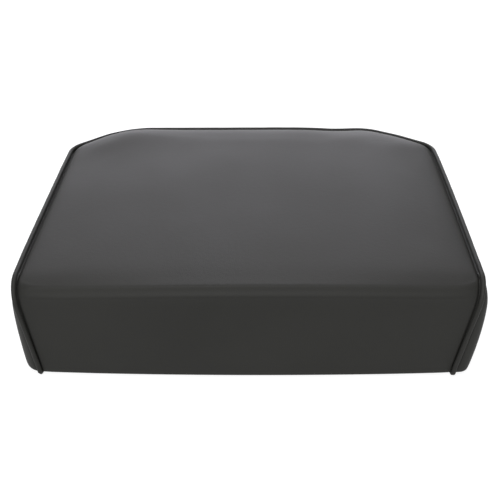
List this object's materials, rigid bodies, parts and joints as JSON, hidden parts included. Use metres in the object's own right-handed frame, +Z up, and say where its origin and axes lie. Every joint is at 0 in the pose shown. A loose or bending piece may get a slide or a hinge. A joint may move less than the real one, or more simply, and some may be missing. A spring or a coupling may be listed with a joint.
{
  "type": "booster seat cushion",
  "caption": "Upholstered booster cushion: a foam pad with a waterfall front, angled rear corners and welted seams on a plywood base.",
  "frame": {"origin": "on the ground, under the middle of the cushion's plan", "axes": "+X across the seat, +Y from the front edge to the back edge, +Z up"},
  "size_m": [0.474, 0.386, 0.118],
  "materials": {
    "plywood": "sanded birch plywood, unfinished",
    "zinc_steel": "bright zinc plate",
    "firm_foam": "open-cell foam",
    "soft_foam": "open-cell foam",
    "polyester_wadding": "fluffy",
    "cover_vinyl": "satin charcoal vinyl with a fine leather grain",
    "piping_vinyl": "satin charcoal vinyl, the same as the cover",
    "filler_cord": "extruded foam cord",
    "staple_wire": "galvanised wire",
    "dust_cloth": "matte non-woven polypropylene"
  },
  "bodies": {
    "root": {"base_board": "plywood", "tee_nuts": "zinc_steel", "foam_core": "firm_foam", "foam_topper": "soft_foam", "wadding": "polyester_wadding", "cover_top_front": "cover_vinyl", "cover_side_left": "cover_vinyl", "cover_side_right": "cover_vinyl", "cover_back": "cover_vinyl", "piping_sleeve": "piping_vinyl", "piping_cord": "filler_cord", "cover_staples": "staple_wire", "dust_cover": "dust_cloth", "dust_cover_staples": "staple_wire"}
  },
  "joints": []
}
